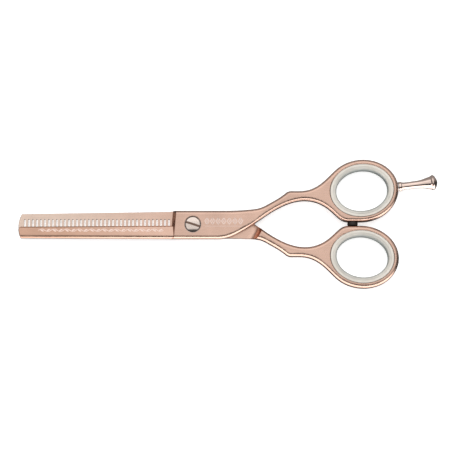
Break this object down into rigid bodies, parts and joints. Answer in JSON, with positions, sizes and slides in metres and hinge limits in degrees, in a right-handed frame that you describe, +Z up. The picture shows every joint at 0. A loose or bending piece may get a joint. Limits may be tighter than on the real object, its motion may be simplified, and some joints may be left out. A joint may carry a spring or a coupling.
{
  "type": "hair thinning shears",
  "caption": "Hair thinning shears with a toothed and a straight blade, slotted pivot screw, oval finger rings with liners, rubber bumper and screw-in finger rest.",
  "frame": {"origin": "on the pivot axis, in the plane of the toothed half's flat back, on which the closed shears lie", "axes": "+Z up along the pivot axis, +X from the pivot towards the finger rings with the blade tips at -X, +Y towards the ring with the finger rest"},
  "size_m": [0.154, 0.0474, 0.0058],
  "materials": {
    "rose_steel": "satin steel with a rose-gold titanium coating",
    "rest_steel": "polished steel with a rose-gold titanium coating",
    "screw_polish": "mirror-polished steel with a thin rose tint",
    "plain_steel": "plain turned steel",
    "bush_bronze": "sintered bronze",
    "white_plastic": "low-friction plastic",
    "ring_plastic": "pale translucent soft plastic",
    "bumper_rubber": "moulded black rubber"
  },
  "bodies": {
    "toothed_half": {"toothed_blade_half": "rose_steel", "lock_nut": "plain_steel", "lower_ring_insert": "ring_plastic"},
    "straight_half": {"straight_blade_half": "rose_steel", "pivot_bush": "bush_bronze", "ride_washer": "white_plastic", "slide_washer": "white_plastic", "spring_washer": "plain_steel", "upper_ring_insert": "ring_plastic", "ring_bumper": "bumper_rubber"},
    "tension_screw": {"pivot_screw": "screw_polish"},
    "rest_collar": {"finger_rest_washer": "plain_steel"},
    "rest_stem": {"finger_rest": "rest_steel"}
  },
  "joints": [
    {"name": "blade_pivot", "type": "hinge", "parent": "toothed_half", "child": "straight_half", "pos_m": [0, 0, 0.0028], "axis": [0, 0, 1], "range_deg": [0, 100]},
    {"name": "screw_turn", "type": "hinge", "parent": "toothed_half", "child": "tension_screw", "pos_m": [0, 0, 0.0028], "axis": [0, 0, 1], "range_deg": [-90, 90]},
    {"name": "rest_travel", "type": "slide", "parent": "straight_half", "child": "rest_collar", "axis": [0.9925, 0.1219, 0], "range_m": [0, 0.0012]},
    {"name": "rest_turn", "type": "hinge", "parent": "rest_collar", "child": "rest_stem", "pos_m": [0.0621, 0.01255, 0.0028], "axis": [0.9925, 0.1219, 0], "range_deg": [0, 1081]}
  ],
  "couplings": [
    {"joint": "rest_turn", "follows": "rest_travel", "rad_per_m": 15708}
  ]
}
